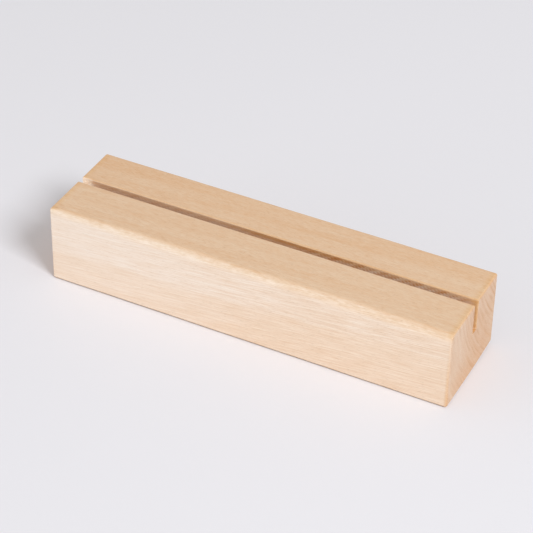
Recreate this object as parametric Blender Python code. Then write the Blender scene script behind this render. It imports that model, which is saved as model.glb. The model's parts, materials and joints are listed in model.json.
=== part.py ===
"""Wooden card stand: one beech block with a sawn card slot, standing on four thin rubber pads.

Metres, +Z up. The length runs along X and the front faces -Y.
The origin is on the table, under the middle of the block.
"""

import math

import bmesh
import bpy
from mathutils import Vector

# Block
LENGTH = 0.150
DEPTH = 0.0385
HEIGHT = 0.0294

# Card slot, one saw cut from end to end
SLOT_WIDTH = 0.003
SLOT_DEPTH = 0.0128
SLOT_SETBACK = 0.0011  # how far the slot's middle lies behind the block's middle

# Sanded edges, as radii. The front top edge is rounder towards the right end.
FRONT_TOP_EDGE_LEFT = 0.0008
FRONT_TOP_EDGE_RIGHT = 0.0022
LONG_EDGE = 0.0005
SLOT_MOUTH_EDGE = 0.0003
SLOT_FLOOR_EDGE = 0.0001
END_EDGE = 0.0008
SLOT_OUTLET_EDGE = 0.0003  # where the slot comes out at an end
SHARPEST_EDGE = 0.0001  # what is left of a small radius where it runs into an end edge

# Pads, each glued into a shallow socket under a corner
PAD_DIAMETER = 0.010
PAD_THICKNESS = 0.001
PAD_RIM_EDGE = 0.0002
PAD_FROM_END = 0.015  # from the block's end face to the pad's middle
PAD_FROM_SIDE = 0.009  # from the block's front or back face to the pad's middle
PAD_STANDS_OUT = 0.0003  # how far a pad lifts the block off the table
GLUE_GAP = 0.0003  # between a pad and its socket, all round

# Facets
LONG_EDGE_STEPS = 6
SLOT_EDGE_STEPS = 3
END_EDGE_STEPS = 4
ROUND_SEGMENTS = 40

BLOCK_BOTTOM = PAD_STANDS_OUT
BLOCK_TOP = BLOCK_BOTTOM + HEIGHT
SOCKET_DEPTH = PAD_THICKNESS - PAD_STANDS_OUT + GLUE_GAP


def clear_scene():
    for obj in list(bpy.data.objects):
        bpy.data.objects.remove(obj)


def principled(name, colour, roughness, metallic=0.0):
    """A Principled BSDF material with one colour."""
    material = bpy.data.materials.new(name)
    material.use_nodes = True
    shader = material.node_tree.nodes["Principled BSDF"]
    shader.inputs["Base Color"].default_value = (*colour, 1.0)
    shader.inputs["Roughness"].default_value = roughness
    shader.inputs["Metallic"].default_value = metallic
    material.diffuse_color = (*colour, 1.0)
    return material


def new_object(name, bm, material, smooth_angle):
    """Turns a bmesh into a named object, smooth but for edges sharper than the angle."""
    bmesh.ops.recalc_face_normals(bm, faces=bm.faces)
    mesh = bpy.data.meshes.new(name)
    bm.to_mesh(mesh)
    bm.free()
    mesh.shade_smooth()
    mesh.set_sharp_from_angle(angle=smooth_angle)
    mesh.materials.append(material)
    obj = bpy.data.objects.new(name, mesh)
    bpy.context.scene.collection.objects.link(obj)
    return obj


def rounded_corner(before, corner, after, radius, steps):
    """Points of the quarter arc that rounds a square corner, from the side of before to that of after."""
    back = (before - corner).normalized()
    onward = (after - corner).normalized()
    centre = corner + (back + onward) * radius
    points = []
    for step in range(steps + 1):
        angle = math.radians(90) * step / steps
        points.append(centre - onward * radius * math.cos(angle) - back * radius * math.sin(angle))
    return points


def block_section(inset, front_top_edge):
    """The block's outline in (y, z), drawn in by inset all round. The slot widens by less than that."""
    front, back = inset - DEPTH / 2, DEPTH / 2 - inset
    bottom, top = BLOCK_BOTTOM + inset, BLOCK_TOP - inset
    widening = inset * SLOT_OUTLET_EDGE / END_EDGE
    slot_front = SLOT_SETBACK - SLOT_WIDTH / 2 - widening
    slot_back = SLOT_SETBACK + SLOT_WIDTH / 2 + widening
    slot_floor = BLOCK_TOP - SLOT_DEPTH - widening

    def outside(radius):
        return max(radius - inset, SHARPEST_EDGE)

    floor_edge = SLOT_FLOOR_EDGE + widening
    corners = [
        (front, bottom, outside(LONG_EDGE), LONG_EDGE_STEPS),
        (back, bottom, outside(LONG_EDGE), LONG_EDGE_STEPS),
        (back, top, outside(LONG_EDGE), LONG_EDGE_STEPS),
        (slot_back, top, outside(SLOT_MOUTH_EDGE), SLOT_EDGE_STEPS),
        (slot_back, slot_floor, floor_edge, SLOT_EDGE_STEPS),
        (slot_front, slot_floor, floor_edge, SLOT_EDGE_STEPS),
        (slot_front, top, outside(SLOT_MOUTH_EDGE), SLOT_EDGE_STEPS),
        (front, top, outside(front_top_edge), LONG_EDGE_STEPS),
    ]
    places = [Vector(corner[:2]) for corner in corners]
    outline = []
    for i, (_, _, radius, steps) in enumerate(corners):
        after = places[(i + 1) % len(places)]
        outline += rounded_corner(places[i - 1], places[i], after, radius, steps)
    return outline


def end_edge_stations():
    """(distance in from the end face, inset) along the quarter arc that eases an end, outermost first."""
    stations = []
    for step in range(END_EDGE_STEPS + 1):
        angle = math.radians(90) * step / END_EDGE_STEPS
        stations.append((END_EDGE * (1 - math.cos(angle)), END_EDGE * (1 - math.sin(angle))))
    return stations


def make_block(material):
    """Lofts the slotted section from the left end face to the right one."""
    stations = [(inward - LENGTH / 2, inset) for inward, inset in end_edge_stations()]
    stations += [(-x, inset) for x, inset in reversed(stations)]
    bm = bmesh.new()
    rings = []
    for x, inset in stations:
        share = x / LENGTH + 0.5
        front_top_edge = FRONT_TOP_EDGE_LEFT + (FRONT_TOP_EDGE_RIGHT - FRONT_TOP_EDGE_LEFT) * share
        outline = block_section(inset, front_top_edge)
        rings.append([bm.verts.new((x, y, z)) for y, z in outline])
    for ring, following in zip(rings, rings[1:]):
        for i in range(len(ring)):
            bm.faces.new((ring[i - 1], ring[i], following[i], following[i - 1]))
    bm.faces.new(rings[0])
    bm.faces.new(rings[-1])
    return new_object("beech_block", bm, material, math.radians(30))


def disc(radius, bottom, top):
    """A bmesh disc on the Z axis, between two heights."""
    bm = bmesh.new()
    bmesh.ops.create_cone(
        bm,
        cap_ends=True,
        segments=ROUND_SEGMENTS,
        radius1=radius,
        radius2=radius,
        depth=top - bottom,
    )
    bmesh.ops.translate(bm, verts=bm.verts, vec=(0, 0, (top + bottom) / 2))
    return bm


def cut_socket(block, name, place):
    """Sinks one shallow round socket into the block's underside."""
    radius = PAD_DIAMETER / 2 + GLUE_GAP
    bm = disc(radius, BLOCK_BOTTOM - SOCKET_DEPTH, BLOCK_BOTTOM + SOCKET_DEPTH)
    cutter = new_object(name, bm, block.data.materials[0], math.radians(30))
    cutter.location = place
    cutter.hide_render = True
    cutter.display_type = "WIRE"
    cut = block.modifiers.new(name, "BOOLEAN")
    cut.operation = "DIFFERENCE"
    cut.object = cutter


def make_pad(name, place, material):
    """A thin rubber disc whose lower rim is eased."""
    bm = disc(PAD_DIAMETER / 2, 0.0, PAD_THICKNESS)
    lower_rim = [edge for edge in bm.edges if all(v.co.z < PAD_RIM_EDGE for v in edge.verts)]
    bmesh.ops.bevel(bm, geom=lower_rim, offset=PAD_RIM_EDGE, segments=2, profile=0.5, affect="EDGES")
    pad = new_object(name, bm, material, math.radians(30))
    pad.location = place


def pad_places():
    """(name, location) of each pad, seen from the front."""
    x = LENGTH / 2 - PAD_FROM_END
    y = DEPTH / 2 - PAD_FROM_SIDE
    for side, across in (("front", -y), ("back", y)):
        for end, along in (("left", -x), ("right", x)):
            yield f"{side}_{end}", (along, across, 0.0)


def main():
    clear_scene()
    beech = principled("beech", (0.73, 0.53, 0.35), 0.55)
    rubber = principled("pad_rubber", (0.16, 0.155, 0.15), 0.8)
    block = make_block(beech)
    for corner, place in pad_places():
        cut_socket(block, f"socket_{corner}", place)
        make_pad(f"pad_{corner}", place, rubber)


main()
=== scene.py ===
"""Looks of a wooden card stand: a sanded beech block with a sawn card slot, on four rubber pads.

Metres, +Z up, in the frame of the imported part: the length runs along X, the front faces -Y and
the table is at Z 0. The wood is one solid pattern in space, so it runs on from face to face.
"""

import json
import math
from typing import NamedTuple

import bpy
import numpy as np
from mathutils import Matrix, Vector


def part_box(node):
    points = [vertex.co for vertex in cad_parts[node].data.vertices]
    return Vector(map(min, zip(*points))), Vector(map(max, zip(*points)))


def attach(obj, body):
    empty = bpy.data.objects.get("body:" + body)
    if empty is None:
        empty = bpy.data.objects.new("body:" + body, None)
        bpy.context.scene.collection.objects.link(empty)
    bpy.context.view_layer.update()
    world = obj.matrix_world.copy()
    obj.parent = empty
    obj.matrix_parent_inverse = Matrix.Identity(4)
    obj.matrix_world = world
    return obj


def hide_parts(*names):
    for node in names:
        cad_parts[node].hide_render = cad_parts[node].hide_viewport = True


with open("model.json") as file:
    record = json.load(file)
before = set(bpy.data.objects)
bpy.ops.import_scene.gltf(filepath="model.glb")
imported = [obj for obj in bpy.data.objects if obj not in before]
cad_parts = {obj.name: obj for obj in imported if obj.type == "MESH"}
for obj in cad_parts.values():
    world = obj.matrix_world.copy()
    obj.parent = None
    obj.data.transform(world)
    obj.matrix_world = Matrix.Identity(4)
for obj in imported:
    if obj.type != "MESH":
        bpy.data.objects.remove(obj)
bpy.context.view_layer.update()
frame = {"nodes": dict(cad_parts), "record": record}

MM = 0.001

# Block and card slot. The block's own size comes from the frame.
BLOCK_LOW, BLOCK_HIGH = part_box("beech_block")
MOUNTS = {mount["name"]: mount for mount in frame["record"]["mounts"]}
SLOT_MIDDLE = MOUNTS["card_seat"]["pos_m"][1]
SLOT_FLOOR = MOUNTS["card_seat"]["pos_m"][2]
SLOT_WIDTH = 3.0 * MM
SLOT_RISE = 0.9 * MM  # of the slot's floor at the right end, where the saw ran out
SLOT_RISE_REACH = 25.0 * MM
PAD_NODES = ("pad_front_left", "pad_front_right", "pad_back_left", "pad_back_right")
GLUE_GAP = 0.3 * MM
SOCKET_OVERCUT = 1.0 * MM

# Sanded edges, as radii
LONG_EDGE = 0.5 * MM
SLOT_MOUTH_EDGE = 0.3 * MM
SLOT_FLOOR_EDGE = 0.1 * MM
END_EDGE = 0.8 * MM
SLOT_OUTLET_EDGE = 0.3 * MM
SHARPEST_EDGE = 0.05 * MM

# Rolled front top edge
ROLL_DOWN = 3.0 * MM  # down the front, and back over the top
ROLL_BACK = 2.4 * MM
ROLL_GROWTH = 0.1  # share that the right end has more and the left end less
LEFT_CORNER = 0.4  # share of the roll at the left end itself, and how far in it is full
LEFT_CORNER_REACH = 6.0 * MM

# Sanding by hand makes each edge waver along the block. Wear then darkens the edges, and painted shade
# darkens the front bottom edge as well.
EDGE_WAVER = 0.12  # share of a radius that sanding takes off or leaves
WAVER_WAVES = (  # length per radian, weight and factor on the edge's phase
    (11.0 * MM, 0.6, 1.0),
    (4.3 * MM, 0.4, 2.7),
)
EDGES = {  # radius, phase of the waver and wear, which on the front bottom edge is painted shade as well
    "back_bottom": (LONG_EDGE, 0.3, 0.33),
    "back_top": (LONG_EDGE, 1.1, 0.13),
    "mouth_back": (SLOT_MOUTH_EDGE, 2.2, 0.65),
    "mouth_front": (SLOT_MOUTH_EDGE, 3.4, 0.33),
    # Painted shade: the front bottom edge is darkened for the shade under the block's front, beside its
    # wear
    "front_bottom": (LONG_EDGE, 5.2, 0.65),
}
ROLL_PHASES = (4.2, 4.6)
END_WEAR = 0.25  # on the end edges, and what their lower corners add
CORNER_WEAR = 0.5
CORNER_REACH = 11.0 * MM
LIT_OUTLET = (3.5 * MM, 4.8 * MM)  # in from the left end, where a painted pool of light, from light entering the slot's open end, takes the sawn colour's place
SANDED_CORNER = 1.0 * MM  # taken off under the right end, at the back
SANDED_REACH = Vector((7.0, 14.0, 6.0)) * MM

# Circular saw marks in the slot
BLADE_RADIUS = 110.0 * MM
WALL_MARK_DEPTH = 0.035 * MM
FLOOR_MARK_DEPTH = 0.03 * MM
MARK_FADE = 0.9 * MM  # below the mouth, where sanding has taken the marks off
MARK_WAVES = (  # pitch in millimetres, weight and phase
    (1.3, 0.6, 0.4),
    (2.1, 0.9, 1.9),
    (4.3, 1.0, 4.1),
    (9.7, 0.6, 2.6),
)

# Mesh density
STATION_STEP = 0.5 * MM
EDGE_STEPS = 8
ROLL_STEPS = 12
SLOT_EDGE_STEPS = 4
SIDE_PIECES = 8
TOP_PIECES = 6
WALL_PIECES = 22
FLOOR_PIECES = 5
SOCKET_SEGMENTS = 64
FLAT_RIM = 0.2 * MM  # narrow strip beside each edge, which keeps the faces flat in shading
WIDEST_RIM = 0.2  # share of a face that such a strip may take
SHARP_ANGLE = math.radians(40)

# Photograph's camera, found from the block's edges
IMAGE_SIZE = 533
FOCAL_PIXELS = 2075.3
SENSOR_MM = 36.0
CAMERA_AT = Vector((0.24928, -0.50549, 0.44323))
CAMERA_HEADING = math.radians(26.338)
CAMERA_PITCH = math.radians(-36.995)
CAMERA_ROLL = math.radians(1.082)
CAMERA_NEAREST = 0.01


# Mesh of the block

class Corner(NamedTuple):
    """One corner of the cross-section, with the run of surface that follows it."""

    y: np.ndarray
    z: np.ndarray
    reach: tuple  # how far the edge takes up the face before it and the face after it
    way_in: tuple  # direction of the section up to the corner, and away from it
    way_out: tuple
    steps: int
    wear_and_shade: float
    pieces: int  # of the run that follows, and its kind of surface
    kind: str


def wobble(x, phase):
    """Smooth wandering value between about -1 and 1 along the block."""
    return sum(weight * np.sin(x / length + factor * phase) for length, weight, factor in WAVER_WAVES)


def stations():
    """X and inset of every cross-section, from the left end to the right end."""
    half = (BLOCK_HIGH.x - BLOCK_LOW.x) / 2
    middle = (BLOCK_HIGH.x + BLOCK_LOW.x) / 2
    turn = np.linspace(0.0, math.pi / 2, EDGE_STEPS + 1)
    end_x = np.append(half - END_EDGE + END_EDGE * np.sin(turn), half)
    end_inset = np.append(END_EDGE * (1 - np.cos(turn)), END_EDGE + FLAT_RIM)
    straight = half - END_EDGE
    steps = round(2 * (straight - FLAT_RIM) / STATION_STEP)
    inner = np.linspace(-straight + FLAT_RIM, straight - FLAT_RIM, steps + 1)
    x = np.concatenate((-end_x[::-1], inner, end_x))
    inset = np.concatenate((end_inset[::-1], np.zeros_like(inner), end_inset))
    return middle + x, inset


def corners(x, inset):
    """The section's eight corners at every station.

    The order runs back along the bottom, up the back, forward over the top with a dip into the
    slot, and down the front.
    """
    front = BLOCK_LOW.y + inset
    back = BLOCK_HIGH.y - inset
    bottom = BLOCK_LOW.z + inset
    top = BLOCK_HIGH.z - inset
    widening = inset * SLOT_OUTLET_EDGE / END_EDGE
    mouth_front = SLOT_MIDDLE - SLOT_WIDTH / 2 - widening
    mouth_back = SLOT_MIDDLE + SLOT_WIDTH / 2 + widening
    floor = SLOT_FLOOR + SLOT_RISE * np.clip(1 - (x[-1] - x) / SLOT_RISE_REACH, 0.0, 1.0) ** 2
    along = 2 * (x - x[0]) / (x[-1] - x[0]) - 1
    from_left = np.clip((x - x[0]) / LEFT_CORNER_REACH, 0.0, 1.0)
    roll = LEFT_CORNER + (1 - LEFT_CORNER) * np.sin(from_left * math.pi / 2)
    roll = roll * (1 + ROLL_GROWTH * along)

    def sanded(radius, phase):
        return np.maximum(radius * (1 + EDGE_WAVER * wobble(x, phase)) - inset, SHARPEST_EDGE)

    def eased(name, y, z, way_in, way_out, steps, pieces, kind):
        radius, phase, wear_and_shade = EDGES[name]
        reach = sanded(radius, phase)
        return Corner(y, z, (reach, reach), way_in, way_out, steps, wear_and_shade, pieces, kind)

    def floor_corner(y, way_in, way_out, pieces, kind):
        reach = np.full_like(x, SLOT_FLOOR_EDGE)
        return Corner(y, floor, (reach, reach), way_in, way_out, SLOT_EDGE_STEPS, 0.0, pieces, kind)

    rolled = sanded(ROLL_BACK * roll, ROLL_PHASES[0]), sanded(ROLL_DOWN * roll, ROLL_PHASES[1])
    ahead, behind, up, down = (-1, 0), (1, 0), (0, 1), (0, -1)
    return (
        eased("back_bottom", back, bottom, behind, up, EDGE_STEPS, SIDE_PIECES, "face"),
        eased("back_top", back, top, up, ahead, EDGE_STEPS, TOP_PIECES, "face"),
        eased("mouth_back", mouth_back, top, ahead, down, SLOT_EDGE_STEPS, WALL_PIECES, "back_wall"),
        floor_corner(mouth_back, down, ahead, FLOOR_PIECES, "floor"),
        floor_corner(mouth_front, ahead, up, WALL_PIECES, "front_wall"),
        eased("mouth_front", mouth_front, top, up, ahead, SLOT_EDGE_STEPS, TOP_PIECES, "face"),
        Corner(front, top, rolled, ahead, down, ROLL_STEPS, 0.0, SIDE_PIECES, "face"),
        eased("front_bottom", front, bottom, down, behind, EDGE_STEPS, SIDE_PIECES, "face"),
    )


def arc(corner):
    """Quarter round at a square corner, as an array of stations by points by (y, z)."""
    turn = np.linspace(0.0, math.pi / 2, corner.steps + 1)[None, :, None]
    tip = np.stack((corner.y, corner.z), -1)[:, None, :]
    before = corner.reach[0][:, None, None] * np.array(corner.way_in, float)
    after = corner.reach[1][:, None, None] * np.array(corner.way_out, float)
    centre = tip - before + after
    return centre - after * np.cos(turn) + before * np.sin(turn)


def run_points(start, end, pieces):
    """Points between two edges, with a narrow strip at each side and even pieces between."""
    length = np.linalg.norm(end - start, axis=-1)[:, None, None]
    rim = np.minimum(FLAT_RIM / length, WIDEST_RIM)
    even = np.linspace(0.0, 1.0, pieces + 1)[None, :, None]
    share = rim + (1 - 2 * rim) * even
    return start[:, None, :] + (end - start)[:, None, :] * share


def saw_marks(x, rise):
    """Height of the saw marks, between about -1 and 1, where the teeth swept up out of the cut."""
    sweep = np.sqrt(np.maximum(2 * BLADE_RADIUS * rise - rise ** 2, 0.0))
    along = (x - sweep) / MM
    total = np.zeros_like(along)
    for pitch, weight, phase in MARK_WAVES:
        total += weight * np.sin(2 * math.pi * along / pitch + phase)
    return total / sum(weight for _, weight, _ in MARK_WAVES)


def cut_marks(x, run, kind):
    """Presses the saw marks into a run of the slot, and gives their height at each point."""
    rise = np.maximum(run[..., 1] - SLOT_FLOOR, 0.0)
    below = np.clip((BLOCK_HIGH.z - run[..., 1]) / MARK_FADE, 0.0, 1.0)
    marks = saw_marks(x[:, None], rise) * below * (kind != "face")
    if kind == "front_wall":
        marks = marks[::-1]
    if kind in ("back_wall", "front_wall"):
        run[..., 0] += WALL_MARK_DEPTH * marks
    if kind == "floor":
        run[..., 1] += FLOOR_MARK_DEPTH * marks
    return marks


def sand_corner(x, outline):
    """Lifts the underside of the right end towards its back corner."""
    share = np.clip(1 - (BLOCK_HIGH.x - x) / SANDED_REACH.x, 0.0, 1.0)[:, None]
    share = share * np.clip(1 - (BLOCK_HIGH.y - outline[..., 0]) / SANDED_REACH.y, 0.0, 1.0)
    share = share * np.clip(1 - (outline[..., 1] - BLOCK_LOW.z) / SANDED_REACH.z, 0.0, 1.0)
    outline[..., 1] += SANDED_CORNER * share


def block_surface():
    """Vertices as stations by points by (x, y, z), and the values that the material reads there.

    These are the share of worn edge, with painted shade on the front bottom edge, of sawn surface and of
    the slot's left outlet, which takes a painted pool of light, and the saw marks.
    """
    x, inset = stations()
    sides = corners(x, inset)
    arcs = [arc(side) for side in sides]
    points, worn, slot, mark = [], [], [], []
    for here, side in enumerate(sides):
        curve = arcs[here]
        following = arcs[(here + 1) % len(sides)]
        run = run_points(curve[:, -1], following[:, 0], side.pieces)
        marks = cut_marks(x, run, side.kind)
        bulge = np.sin(np.linspace(0.0, math.pi, curve.shape[1]))
        points += [curve, run]
        worn += [bulge * side.wear_and_shade, np.zeros(run.shape[1])]
        slot += [np.zeros(curve.shape[1]), np.full(run.shape[1], float(side.kind != "face"))]
        mark += [np.zeros(curve.shape[:2]), marks]
    outline = np.concatenate(points, 1)
    sand_corner(x, outline)
    into_end = np.clip(inset / END_EDGE, 0.0, 1.0)[:, None]
    low = np.clip(1 - (outline[..., 1] - BLOCK_LOW.z) / CORNER_REACH, 0.0, 1.0)
    end_worn = (END_WEAR + CORNER_WEAR * low) * np.sin(math.pi * into_end)
    # The slot's left outlet takes a painted pool of light instead of the sawn colour
    clean = np.interp(x - BLOCK_LOW.x, LIT_OUTLET, (1.0, 0.0))[:, None]
    slot = np.concatenate(slot) * (1 - into_end)
    values = {
        "worn": np.maximum(np.concatenate(worn) * (1 - into_end), end_worn),
        "sawn": slot * (1 - clean),
        "clean": slot * clean,
        "mark": np.concatenate(mark, 1) * (1 - into_end),
    }
    across = np.broadcast_to(x[:, None, None], outline.shape[:2] + (1,))
    return np.concatenate((across, outline), -1), values


def grid_mesh(name, surface):
    """Closed mesh lofted through the sections, with a flat cap at each end."""
    count, around, _ = surface.shape
    index = np.arange(count * around).reshape(count, around)
    beside = np.roll(index, -1, axis=1)
    quads = np.stack((index[:-1], index[1:], beside[1:], beside[:-1]), -1).reshape(-1, 4)
    caps = [index[0].tolist(), index[-1][::-1].tolist()]
    mesh = bpy.data.meshes.new(name)
    mesh.from_pydata(surface.reshape(-1, 3).tolist(), [], quads.tolist() + caps)
    return mesh


def paint(mesh, name, values):
    """Keeps one number per vertex for the material to read."""
    layer = mesh.attributes.new(name, "FLOAT", "POINT")
    layer.data.foreach_set("value", np.ascontiguousarray(values, np.float32).ravel())


def socket_cutter():
    """The four pad sockets as one cutter, a glue gap larger than the pads."""
    verts, faces = [], []
    turn = np.linspace(0.0, 2 * math.pi, SOCKET_SEGMENTS, endpoint=False)
    for node in PAD_NODES:
        low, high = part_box(node)
        radius = (high.x - low.x) / 2 + GLUE_GAP
        middle = (low + high) / 2
        circle = [(middle.x + radius * math.cos(a), middle.y + radius * math.sin(a)) for a in turn]
        first = len(verts)
        for z in (low.z - SOCKET_OVERCUT, high.z + GLUE_GAP):
            verts += [(x, y, z) for x, y in circle]
        lower = list(range(first, first + SOCKET_SEGMENTS))
        upper = [i + SOCKET_SEGMENTS for i in lower]
        faces += [lower[::-1], upper]
        for i in range(SOCKET_SEGMENTS):
            j = (i + 1) % SOCKET_SEGMENTS
            faces.append([lower[i], lower[j], upper[j], upper[i]])
    mesh = bpy.data.meshes.new("socket_cutter")
    mesh.from_pydata(verts, [], faces)
    return bpy.data.objects.new("socket_cutter", mesh)


def make_block(material):
    surface, values = block_surface()
    mesh = grid_mesh("block", surface)
    for name, value in values.items():
        paint(mesh, name, value)
    block = bpy.data.objects.new("sanded_block", mesh)
    cutter = socket_cutter()
    for each in (block, cutter):
        bpy.context.scene.collection.objects.link(each)
    cut = block.modifiers.new("sockets", "BOOLEAN")
    cut.operation = "DIFFERENCE"
    cut.solver = "EXACT"
    cut.object = cutter
    seen = block.evaluated_get(bpy.context.evaluated_depsgraph_get())
    finished = bpy.data.meshes.new_from_object(seen)
    block.modifiers.clear()
    block.data = finished
    bpy.data.objects.remove(cutter)
    finished.shade_smooth()
    finished.set_sharp_from_angle(angle=SHARP_ANGLE)
    finished.materials.clear()
    finished.materials.append(material)
    return block


# Materials

class Graph:
    """Adds nodes to a material. A socket given as a value is linked, and anything else is set."""

    def __init__(self, name):
        self.material = bpy.data.materials.new(name)
        self.material.use_nodes = True
        self.tree = self.material.node_tree
        self.shader = self.tree.nodes["Principled BSDF"]

    def add(self, kind, inputs, **settings):
        node = self.tree.nodes.new(kind)
        for key, value in settings.items():
            setattr(node, key, value)
        self.fill(node, inputs)
        return node

    def fill(self, node, inputs):
        for key, value in inputs.items():
            self.put(node.inputs[key], value)

    def put(self, socket, value):
        if isinstance(value, bpy.types.NodeSocket):
            self.tree.links.new(value, socket)
        else:
            socket.default_value = value

    def maths(self, operation, *values):
        return self.add("ShaderNodeMath", dict(enumerate(values)), operation=operation).outputs[0]

    def plus(self, base, value, weight):
        """Adds a weighted value to a base."""
        return self.maths("MULTIPLY_ADD", value, weight, base)

    def product(self, value, *others):
        for other in others:
            value = self.maths("MULTIPLY", value, other)
        return value

    def rest(self, share):
        """What a share leaves of one."""
        return self.maths("SUBTRACT", 1.0, share)

    def vector(self, operation, *values):
        node = self.add("ShaderNodeVectorMath", dict(enumerate(values)), operation=operation)
        return node.outputs["Value" if operation == "LENGTH" else "Vector"]

    def scaled(self, vector, amount):
        inputs = {"Vector": vector, "Scale": amount}
        return self.add("ShaderNodeVectorMath", inputs, operation="SCALE").outputs["Vector"]

    def split(self, vector):
        return self.add("ShaderNodeSeparateXYZ", {"Vector": vector}).outputs

    def joined(self, x, y, z):
        return self.add("ShaderNodeCombineXYZ", {"X": x, "Y": y, "Z": z}).outputs[0]

    def step(self, value, low, high, to_low=0.0, to_high=1.0):
        """Smooth step of a value from low to high."""
        inputs = {"Value": value, "From Min": low, "From Max": high, "To Min": to_low, "To Max": to_high}
        node = self.add("ShaderNodeMapRange", inputs, interpolation_type="SMOOTHSTEP")
        return node.outputs["Result"]

    def fade(self, value, low, high):
        """Smooth step from one down to zero."""
        return self.step(value, low, high, 1.0, 0.0)

    def noise(self, place, scale, detail=2.0, roughness=0.5, output="Fac"):
        """Noise between 0 and 1, with its own scale along each axis."""
        place = self.vector("MULTIPLY", place, scale)
        inputs = {"Vector": place, "Scale": 1.0, "Detail": detail, "Roughness": roughness}
        return self.add("ShaderNodeTexNoise", inputs).outputs[output]

    def cells(self, place, scale):
        """Distance to the nearest of many scattered points."""
        place = self.vector("MULTIPLY", place, scale)
        inputs = {"Vector": place, "Scale": 1.0, "Randomness": 1.0}
        return self.add("ShaderNodeTexVoronoi", inputs).outputs["Distance"]

    def centred(self, noise):
        """Moves a noise's middle to zero."""
        return self.maths("SUBTRACT", noise, 0.5)

    def mix(self, factor, first, second, blend="MIX"):
        node = self.add("ShaderNodeMix", {}, data_type="RGBA", blend_type=blend)
        inputs = {socket.identifier: socket for socket in node.inputs}
        outputs = {socket.identifier: socket for socket in node.outputs}
        self.put(inputs["Factor_Float"], factor)
        self.put(inputs["A_Color"], first)
        self.put(inputs["B_Color"], second)
        return outputs["Result_Color"]

    def attribute(self, name):
        return self.add("ShaderNodeAttribute", {}, attribute_name=name).outputs["Fac"]

    def bump(self, height, strength, distance):
        inputs = {"Height": height, "Strength": strength, "Distance": distance}
        return self.add("ShaderNodeBump", inputs).outputs["Normal"]


# The wood's lengths are in millimetres, and its noise scales are per millimetre.
# Strengths and depths in threes are for the top, the sides and the ends.

LEFT, FRONT, _ = BLOCK_LOW / MM
RIGHT, BACK, TOP = BLOCK_HIGH / MM
MOUTH_BACK = (SLOT_MIDDLE + SLOT_WIDTH / 2) / MM

# Share of the normal at which a face starts to count, and fully counts, as a side, an end or the top
SIDE_FACING = (0.15, 0.95)
END_FACING = (0.45, 0.9)
TOP_FACING = (0.3, 0.8)

# Growth. The pith lies above and behind the block, nearly along X.
PITH_Y = 68.0
PITH_Z = 57.0
PITH_DISTANCE = 80.0  # turns angles round the pith into lengths
RING_SLOPE = (0.03, 0.035)  # rise along the block, towards the back and up
FIBRE_SLOPE = (0.0, 0.09)
TAN_SLOPE = (0.0, 0.045)
WANDER = 2.6
WANDER_SCALE = (0.012, 0.05, 0.05)
ROUGH_NOISE = {"detail": 3.0, "roughness": 0.6}

# Growth rings, each with a late line that comes and goes
RING_WIDTH = 2.2
RING_UNEVEN = 2.2  # in rings
RING_UNEVEN_SCALE = (0.13, 1.0, 1.0)
LATE_START = 0.2  # share of a ring where the late line starts, and where it is darkest
LATE_PEAK = 0.85
LATE_PATCHES = (0.35, 0.65)
LATE_PATCH_SCALE = (0.03, 0.25, 0.12)
LATE_STRENGTHS = (0.11, 0.03, 0.11)
END_GROWS = (FRONT + 0.25, 0.0)  # from front to middle, as the ends' rings and streaks grow stronger
END_LATE_STRENGTH = (0.2, 0.36)
LATEWOOD = (0.60, 0.335, 0.17, 1)

# Tone from pale to tan
PALE = (0.755, 0.532, 0.355, 1)
TAN = (0.722, 0.460, 0.272, 1)
BAND_STRENGTHS = (2.2, 0.45, 3.5)
BAND_SCALE = (0.24, 0.008, 1.0)
BAND_SHIFT = 3.0
CLOUD_BASE = -0.175
CLOUD_STRENGTH = 0.65
CLOUD_SCALE = (0.03, 0.16, 0.16)
TAN_ZONE = (95.6, 97.4)  # distance from the pith beyond which the wood turns tan
TAN_SHARE = 0.5
CORE_ZONE = (58.0, 76.0)  # distance within which it turns tan as well
CORE_SHARE = 0.4
WARM_SIDE = (LEFT, RIGHT - 10.0)  # along the block, where the sides turn warmer
WARM_SIDE_TONE = (-0.07, 0.61)

# Ray flecks along the rings
FLECK = (0.56, 0.30, 0.14, 1)
FLECK_STRENGTH = 0.09
FLECK_SIZE = (0.15, 0.45)
FLECK_SCALE = (0.25, 0.35, 2.2)

# Pores and fibres along the grain, and streaks along the rings on the ends
PORE = (0.42, 0.225, 0.10, 1)
PORE_STRENGTHS = (0.32, 0.29, 0.32)
PORE_CUT = (0.55, 0.74)
PORE_SCALE = (0.7, 5.0, 5.0)
LONG_FIBRE_SCALE = (0.03, 1.6, 1.6)
SHORT_FIBRE_SCALE = (0.08, 3.9, 3.9)
SHORT_FIBRE_SHARE = 0.82
FIBRE_DEPTHS = (0.60, 0.74, 0.85)
FIBRE_HUE = (0.35, 1.0, 1.7, 1)  # dark fibres are also warmer, less so on the sides
SIDE_FIBRE_HUE = (0.5, 1.0, 1.55, 1)
FINE_SIDE = (LEFT, LEFT + 100.0)  # along the block, where the sides' fibres and pores turn stronger
FINE_SIDE_CHANGE = (-0.36, 0.13)
STREAK_DEPTH = (0.16, 0.30)
STREAK_SCALE = (0.05, 1.3, 0.12)

# Strength of the saw marks' painted light and shade on their ridges, by place along the slot
MARK_GROWS = (5.0, 25.0)
MARK_DEPTH = (0.2, 0.62)
MARK_OUTLET = (RIGHT - 9.0, RIGHT - 2.0)
MARK_OUTLET_SHARE = 0.2

# Tints of the sides and the ends. The sides' pale, cool tint is painted sheen of the front light, weaker
# on the back; the ends are darker end grain, and their front part is paler and cooler by painted sheen.
SIDE_SHEEN_TINT = (1.085, 1.30, 1.65, 1)
BACK_SHEEN_TINT = (1.04, 1.12, 1.25, 1)
BACK_PLACE = (BACK - 9.25, BACK - 1.25)
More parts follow.
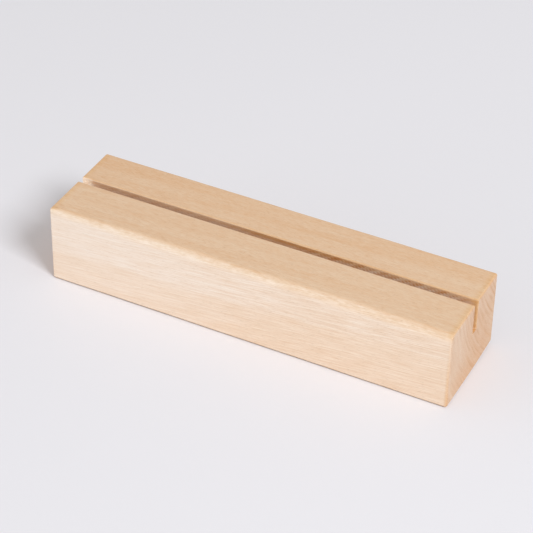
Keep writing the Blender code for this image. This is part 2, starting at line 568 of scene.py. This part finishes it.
# Painted sheen: the ends' front part is paler and cooler than their back
END_FRONT_SHEEN_TINT = (0.928, 0.98, 1.10, 1)
END_BACK_TINT = (0.884, 0.855, 0.872, 1)
END_BACK_PLACE = (-16.0, -1.0)
END_LOW_TINT = (1.0, 0.945, 0.88, 1)
END_LOW_HEIGHT = (2.0, 15.0)
END_LOW_BACK = (2.0, 14.0)
END_LOW_BACK_SHARE = 0.5
END_TOP_TINT = (1.01, 1.035, 1.075, 1)
END_TOP_HEIGHT = (18.0, 28.0)
END_TOP_BACK = (-12.0, 0.0)

# Tints of the slot, the painted pool of light in its left outlet, the painted bounce light at its right
# outlet and the warm strip on the top behind it
SAWN_TINT = (0.98, 0.97, 1.02, 1)
SAWN_WARM_TINT = (0.98, 0.91, 0.86, 1)
SAWN_WARM_MIDDLE = 10.0  # of the warm stretch along the slot, and where it fades to each side
SAWN_WARM_REACH = (12.0, 32.0)
# Darker and warmer on the slot's walls near the top, down to these depths below it
UPPER_WALL_TINT = (0.89, 0.75, 0.58, 1)
UPPER_WALL_DEPTH = (1.1, 2.2)
# Warmer at the right outlet: painted light, bounced between the slot's walls
RIGHT_OUTLET_BOUNCE_TINT = (1.06, 0.93, 0.66, 1)
RIGHT_OUTLET_PLACE = (RIGHT - 4.0, RIGHT - 0.5)
# Paler in the left outlet: a painted pool of light that enters the slot's open left end
OUTLET_LIGHT_TINT = (1.26, 1.52, 1.88, 1)
MOUTH_TINT = (0.97, 0.91, 0.81, 1)
MOUTH_WARM_TINT = (0.95, 0.86, 0.71, 1)
MOUTH_WARM_START = (-30.0, 10.0)
MOUTH_START = (LEFT + 2.0, LEFT + 6.0)
MOUTH_EDGE = (-0.4, -0.1)
MOUTH_REACH = (0.0, 0.8)
MOUTH_DEPTH = (1.1, 2.0)

# Tints of worn and rubbed edges, and painted shade on the front bottom edge and the rolled front top
# edge
WORN_AND_SHADED_TINT = (0.95, 0.77, 0.53, 1)
# The rolled front top edge is darkened in patches: painted shade that tones down the light its rounding
# catches, and rubbing
RUBBED_AND_SHADED_TINT = (0.925, 0.88, 0.80, 1)
RUBBED_DOWN = (0.8, 3.2)  # of the rubbed and shaded front top edge, down the front and back over the top
RUBBED_BACK = (0.8, 2.4)
RUBBED_PATCHES = (0.36, 0.64)
RUBBED_PATCH_SCALE = (0.45, 0.7, 0.7)
RUBBED_STRENGTH = (0.4, 1.05)
END_RUBBED_TINT = (0.99, 0.94, 0.83, 1)
END_RUBBED_REACH = (0.8, 3.0)  # in from the ends, on the top
CORNER_RUBBED_TINT = (0.93, 0.81, 0.66, 1)
CORNER_RUBBED_REACH = (0.5, 1.5)  # in from the right end, on the front and back
CORNER_RUBBED_HEIGHT = (0.0, 27.0)
CORNER_RUBBED_TOP_SHARE = 0.2

# Sheen and relief of the wood
WOOD_ROUGHNESS = 0.42
FIBRE_ROUGHNESS = 0.18
CUT_ROUGHNESS = 0.16  # added on end grain and sawn wood
PORE_RELIEF = -1.0
FIBRE_RELIEF = 0.8
LATE_RELIEF = 0.4
GRAIN_BUMP = 0.35
GRAIN_DEPTH = 0.03 * MM

# Rubber of the pads
RUBBER_DARK = (0.13, 0.126, 0.122, 1)
RUBBER_LIGHT = (0.19, 0.185, 0.178, 1)
RUBBER_SPECK = (0.28, 0.27, 0.26, 1)
RUBBER_CLOUDS = (0.3, 0.7)
RUBBER_CLOUD_SCALE = (0.6, 0.6, 0.6)
RUBBER_SPECKS = (0.58, 0.72)
RUBBER_SPECK_SCALE = (9.0, 9.0, 9.0)
RUBBER_SPECK_STRENGTH = 0.35
RUBBER_GRAIN = (0.3, 0.7)  # range of the specks over which the roughness grows
RUBBER_ROUGHNESS = (0.72, 0.9)
RUBBER_BUMP = 0.4
RUBBER_DEPTH = 0.05 * MM


class Faces(NamedTuple):
    """Sockets that say where a point lies: its place, and its share of each kind of surface."""

    x: bpy.types.NodeSocket
    y: bpy.types.NodeSocket
    z: bpy.types.NodeSocket
    side: bpy.types.NodeSocket
    end: bpy.types.NodeSocket
    top: bpy.types.NodeSocket
    sawn: bpy.types.NodeSocket
    clean: bpy.types.NodeSocket


def find_faces(graph, place, normal):
    x, y, z = graph.split(place)
    nx, ny, nz = graph.split(normal)
    sawn = graph.attribute("sawn")
    clean = graph.attribute("clean")
    outside = graph.rest(graph.maths("ADD", sawn, clean))
    side = graph.product(graph.step(graph.maths("ABSOLUTE", ny), *SIDE_FACING), outside)
    end = graph.step(graph.maths("ABSOLUTE", nx), *END_FACING)
    top = graph.step(nz, *TOP_FACING)
    return Faces(x, y, z, side, end, top, sawn, clean)


def by_face(graph, faces, top, side, end):
    """A number that differs from the top to the sides and the ends."""
    value = graph.plus(top, faces.side, side - top)
    return graph.plus(value, faces.end, end - top)


def wandering(graph, place):
    """The place, pushed about a little, so that the grain wanders."""
    slow = graph.noise(place, WANDER_SCALE, output="Color")
    push = graph.scaled(graph.vector("SUBTRACT", slow, (0.5, 0.5, 0.5)), WANDER)
    return graph.vector("ADD", place, push)


def grain_frame(graph, place, slope):
    """Distance along the block, out from the pith and round it, for grain that climbs."""
    x, y, z = graph.split(place)
    y = graph.maths("SUBTRACT", graph.plus(y, x, -slope[0]), PITH_Y)
    z = graph.maths("SUBTRACT", graph.plus(z, x, -slope[1]), PITH_Z)
    out = graph.vector("LENGTH", graph.joined(0.0, y, z))
    around = graph.product(graph.maths("ARCTAN2", z, y), PITH_DISTANCE)
    return x, out, around


def late_lines(graph, out, ring_place):
    """Share of late wood, in rings of uneven width."""
    uneven = graph.noise(graph.joined(out, 0.0, 0.0), RING_UNEVEN_SCALE, detail=1.0)
    count = graph.plus(graph.maths("DIVIDE", out, RING_WIDTH), uneven, RING_UNEVEN)
    part = graph.maths("FRACT", count)
    line = graph.product(graph.step(part, LATE_START, LATE_PEAK), graph.fade(part, LATE_PEAK, 1.0))
    patches = graph.step(graph.noise(ring_place, LATE_PATCH_SCALE), *LATE_PATCHES)
    return graph.product(line, patches)


def wood_tone(graph, faces, bent, along, out):
    """Tone from pale to tan: soft clouds, broad bands, and zones far from the pith and near it."""
    bands = graph.noise(graph.joined(out, along, BAND_SHIFT), BAND_SCALE, **ROUGH_NOISE)
    clouds = graph.noise(bent, CLOUD_SCALE, **ROUGH_NOISE)
    _, tan_out, _ = grain_frame(graph, bent, TAN_SLOPE)
    far = graph.step(tan_out, *TAN_ZONE, 0.0, TAN_SHARE)
    near = graph.step(out, *CORE_ZONE, CORE_SHARE, 0.0)
    zones = graph.maths("ADD", far, near)
    tone = graph.plus(CLOUD_BASE, clouds, CLOUD_STRENGTH)
    tone = graph.plus(tone, graph.centred(bands), by_face(graph, faces, *BAND_STRENGTHS))
    tone = graph.plus(tone, zones, graph.rest(faces.end))
    return graph.plus(tone, faces.side, graph.step(faces.x, *WARM_SIDE, *WARM_SIDE_TONE))


def fine_grain(graph, bent):
    """Pores and fibres, which run along the grain."""
    place = graph.joined(*grain_frame(graph, bent, FIBRE_SLOPE))
    pores = graph.step(graph.noise(place, PORE_SCALE), *PORE_CUT)
    fibres = graph.product(graph.noise(place, LONG_FIBRE_SCALE, **ROUGH_NOISE), 1 - SHORT_FIBRE_SHARE)
    fibres = graph.plus(fibres, graph.noise(place, SHORT_FIBRE_SCALE), SHORT_FIBRE_SHARE)
    return pores, fibres


def fine_shade(graph, faces, fibres, fineness, ring_place):
    """Light and dark of the fibres and of streaks on the ends, and painted light and shade of the saw
    marks, as a tint.
    """
    depth = graph.product(by_face(graph, faces, *FIBRE_DEPTHS), fineness)
    lift = graph.product(graph.centred(fibres), depth)
    streaks = graph.product(graph.centred(graph.noise(ring_place, STREAK_SCALE)), faces.end)
    lift = graph.plus(lift, streaks, graph.step(faces.y, *END_GROWS, *STREAK_DEPTH))
    mark_shading = graph.step(faces.x, *MARK_GROWS, *MARK_DEPTH)
    outlet = graph.step(faces.x, *MARK_OUTLET, 1.0, MARK_OUTLET_SHARE)
    lift = graph.plus(lift, graph.attribute("mark"), graph.product(mark_shading, outlet))
    hue = graph.mix(faces.side, FIBRE_HUE, SIDE_FIBRE_HUE)
    return graph.vector("MULTIPLY_ADD", graph.joined(lift, lift, lift), hue, (1.0, 1.0, 1.0))


def face_tints(graph, faces):
    """Share and tint of the sides and of the ends, with painted sheen on the sides and on the ends'
    front part.
    """
    side_sheen_tint = graph.mix(graph.step(faces.y, *BACK_PLACE), SIDE_SHEEN_TINT, BACK_SHEEN_TINT)
    end_tint = graph.mix(graph.step(faces.y, *END_BACK_PLACE), END_FRONT_SHEEN_TINT, END_BACK_TINT)
    low = graph.product(faces.end, graph.fade(faces.z, *END_LOW_HEIGHT))
    low = graph.product(low, graph.step(faces.y, *END_LOW_BACK, 1.0, END_LOW_BACK_SHARE))
    high = graph.product(faces.end, graph.step(faces.z, *END_TOP_HEIGHT))
    high = graph.product(high, graph.step(faces.y, *END_TOP_BACK))
    return (faces.side, side_sheen_tint), (faces.end, end_tint), (low, END_LOW_TINT), (high, END_TOP_TINT)


def slot_tints(graph, faces, below):
    """Share and tint of the sawn slot, its right outlet's painted bounce light, its left outlet's
    painted pool of light and the strip behind its mouth.
    """
    from_warm = graph.maths("ABSOLUTE", graph.maths("SUBTRACT", faces.x, SAWN_WARM_MIDDLE))
    warm_tint = graph.mix(graph.step(below, *UPPER_WALL_DEPTH), UPPER_WALL_TINT, SAWN_WARM_TINT)
    sawn_tint = graph.mix(graph.fade(from_warm, *SAWN_WARM_REACH), SAWN_TINT, warm_tint)
    sawn_tint = graph.mix(graph.step(faces.x, *RIGHT_OUTLET_PLACE), sawn_tint, RIGHT_OUTLET_BOUNCE_TINT)
    behind = graph.maths("SUBTRACT", faces.y, MOUTH_BACK)
    strip = graph.product(
        graph.fade(behind, *MOUTH_REACH),
        graph.step(behind, *MOUTH_EDGE),
        graph.fade(below, *MOUTH_DEPTH),
        graph.step(faces.x, *MOUTH_START),
    )
    strip_tint = graph.mix(graph.step(faces.x, *MOUTH_WARM_START), MOUTH_TINT, MOUTH_WARM_TINT)
    return (faces.sawn, sawn_tint), (faces.clean, OUTLET_LIGHT_TINT), (strip, strip_tint)


def edge_tints(graph, place, faces, below):
    """Share and tint of the rubbed and worn edges, with painted shade on the front bottom edge and on
    the rolled front top edge.
    """
    behind = graph.maths("SUBTRACT", faces.y, FRONT)
    patches = graph.noise(place, RUBBED_PATCH_SCALE)
    rubbed_and_shaded = graph.product(
        graph.fade(below, *RUBBED_DOWN),
        graph.fade(behind, *RUBBED_BACK),
        graph.step(patches, *RUBBED_PATCHES, *RUBBED_STRENGTH),
    )
    from_end = graph.maths("SUBTRACT", RIGHT, graph.maths("ABSOLUTE", faces.x))
    end_rubbed = graph.product(graph.fade(from_end, *END_RUBBED_REACH), faces.top)
    from_right = graph.maths("SUBTRACT", RIGHT, faces.x)
    corner_rubbed = graph.product(
        faces.side,
        graph.fade(from_right, *CORNER_RUBBED_REACH),
        graph.step(faces.z, *CORNER_RUBBED_HEIGHT, 1.0, CORNER_RUBBED_TOP_SHARE),
    )
    return (
        (rubbed_and_shaded, RUBBED_AND_SHADED_TINT),
        (end_rubbed, END_RUBBED_TINT),
        (corner_rubbed, CORNER_RUBBED_TINT),
        (graph.attribute("worn"), WORN_AND_SHADED_TINT),
    )


def beech_material():
    graph = Graph("beech")
    coordinates = graph.add("ShaderNodeTexCoord", {}).outputs
    place = graph.scaled(coordinates["Object"], 1 / MM)
    faces = find_faces(graph, place, coordinates["Normal"])
    bent = wandering(graph, place)
    along, out, around = grain_frame(graph, bent, RING_SLOPE)
    ring_place = graph.joined(along, out, around)

    # Pale to tan wood, then late lines, flecks and pores
    colour = graph.mix(wood_tone(graph, faces, bent, along, out), PALE, TAN)
    late = late_lines(graph, out, ring_place)
    late_strength = by_face(graph, faces, *LATE_STRENGTHS)
    end_strength = graph.step(faces.y, *END_GROWS, *END_LATE_STRENGTH)
    late_strength = graph.plus(late_strength, faces.end, end_strength)
    colour = graph.mix(graph.product(late, late_strength), colour, LATEWOOD)
    flecks = graph.fade(graph.cells(ring_place, FLECK_SCALE), *FLECK_SIZE)
    colour = graph.mix(graph.product(flecks, FLECK_STRENGTH), colour, FLECK)
    pores, fibres = fine_grain(graph, bent)
    fineness = graph.plus(1.0, faces.side, graph.step(faces.x, *FINE_SIDE, *FINE_SIDE_CHANGE))
    pore_strength = graph.product(fineness, by_face(graph, faces, *PORE_STRENGTHS))
    colour = graph.mix(graph.product(pores, pore_strength), colour, PORE)

    # Fibres, and tints of the faces, the slot and the edges
    shade = fine_shade(graph, faces, fibres, fineness, ring_place)
    colour = graph.mix(1.0, colour, shade, "MULTIPLY")
    below = graph.maths("SUBTRACT", TOP, faces.z)
    tints = face_tints(graph, faces)
    tints += slot_tints(graph, faces, below)
    tints += edge_tints(graph, place, faces, below)
    for share, tint in tints:
        colour = graph.mix(share, colour, tint, "MULTIPLY")

    # Sheen and relief
    roughness = graph.plus(WOOD_ROUGHNESS, fibres, FIBRE_ROUGHNESS)
    roughness = graph.plus(roughness, graph.maths("MAXIMUM", faces.end, faces.sawn), CUT_ROUGHNESS)
    height = graph.plus(graph.product(fibres, FIBRE_RELIEF), pores, PORE_RELIEF)
    height = graph.plus(height, late, LATE_RELIEF)
    normal = graph.bump(height, GRAIN_BUMP, GRAIN_DEPTH)
    graph.fill(graph.shader, {"Base Color": colour, "Roughness": roughness, "Normal": normal})
    return graph.material


def rubber_material():
    graph = Graph("pad_rubber")
    place = graph.scaled(graph.add("ShaderNodeTexCoord", {}).outputs["Object"], 1 / MM)
    clouds = graph.noise(place, RUBBER_CLOUD_SCALE, detail=3.0)
    specks = graph.noise(place, RUBBER_SPECK_SCALE)
    colour = graph.mix(graph.step(clouds, *RUBBER_CLOUDS), RUBBER_DARK, RUBBER_LIGHT)
    speck_share = graph.step(specks, *RUBBER_SPECKS, 0.0, RUBBER_SPECK_STRENGTH)
    colour = graph.mix(speck_share, colour, RUBBER_SPECK)
    roughness = graph.step(specks, *RUBBER_GRAIN, *RUBBER_ROUGHNESS)
    normal = graph.bump(specks, RUBBER_BUMP, RUBBER_DEPTH)
    graph.fill(graph.shader, {"Base Color": colour, "Roughness": roughness, "Normal": normal})
    return graph.material


# Studio. A lamp's azimuth is to the right of the front, and its angles are in degrees.

FLOOR_SIZE = 12.0
FLOOR_COLOUR = (0.80, 0.79, 0.83, 1)
FLOOR_ROUGHNESS = 0.7
SKY_COLOUR = (1.0, 0.975, 0.945, 1)
SKY_STRENGTH = 0.53
LAMP_COLOUR = (0.95, 0.98, 1.0)
LAMPS = {
    "key": {
        "azimuth": 64, "elevation": 44, "distance": 2.5, "width": 0.85, "height": 0.85, "power": 43.0,
    },
    "low_fill": {
        "azimuth": -58, "elevation": 6, "distance": 3.0, "width": 4.5, "height": 0.6, "power": 49.2,
    },
}


def make_floor():
    half = FLOOR_SIZE / 2
    outline = [(-half, -half, 0), (half, -half, 0), (half, half, 0), (-half, half, 0)]
    mesh = bpy.data.meshes.new("floor")
    mesh.from_pydata(outline, [], [(0, 1, 2, 3)])
    floor = bpy.data.objects.new("floor", mesh)
    bpy.context.scene.collection.objects.link(floor)
    graph = Graph("floor")
    graph.fill(graph.shader, {"Base Color": FLOOR_COLOUR, "Roughness": FLOOR_ROUGHNESS})
    mesh.materials.append(graph.material)


def softbox(name, azimuth, elevation, distance, width, height, power):
    """Flat lamp that faces the block."""
    turn = math.radians(azimuth)
    lift = math.radians(elevation)
    level = math.cos(lift)
    way = Vector((math.sin(turn) * level, -math.cos(turn) * level, math.sin(lift)))
    lamp = bpy.data.lights.new(name, "AREA")
    lamp.shape = "RECTANGLE"
    lamp.size = width
    lamp.size_y = height
    lamp.energy = power
    lamp.color = LAMP_COLOUR
    holder = bpy.data.objects.new(name, lamp)
    holder.location = way * distance
    holder.rotation_euler = way.to_track_quat("Z", "Y").to_euler()
    holder.visible_camera = False
    bpy.context.scene.collection.objects.link(holder)


def make_world():
    world = bpy.data.worlds.new("studio")
    world.use_nodes = True
    sky = world.node_tree.nodes["Background"]
    sky.inputs["Color"].default_value = SKY_COLOUR
    sky.inputs["Strength"].default_value = SKY_STRENGTH
    bpy.context.scene.world = world


def make_camera():
    lens = bpy.data.cameras.new("camera")
    lens.sensor_width = SENSOR_MM
    lens.lens = FOCAL_PIXELS / IMAGE_SIZE * SENSOR_MM
    lens.clip_start = CAMERA_NEAREST
    camera = bpy.data.objects.new("camera", lens)
    turn = Matrix.Rotation(CAMERA_HEADING, 4, "Z")
    tip = Matrix.Rotation(math.pi / 2 + CAMERA_PITCH, 4, "X")
    roll = Matrix.Rotation(CAMERA_ROLL, 4, "Z")
    camera.matrix_world = Matrix.Translation(CAMERA_AT) @ turn @ tip @ roll
    bpy.context.scene.collection.objects.link(camera)
    bpy.context.scene.camera = camera


def main():
    block = make_block(beech_material())
    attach(block, "root")
    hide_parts("beech_block")
    rubber = rubber_material()
    for node in PAD_NODES:
        pad = frame["nodes"][node]
        pad.data.materials.clear()
        pad.data.materials.append(rubber)
    make_floor()
    for name, lamp in LAMPS.items():
        softbox(name, **lamp)
    make_world()
    make_camera()
    bpy.context.scene.view_settings.view_transform = "Standard"


main()
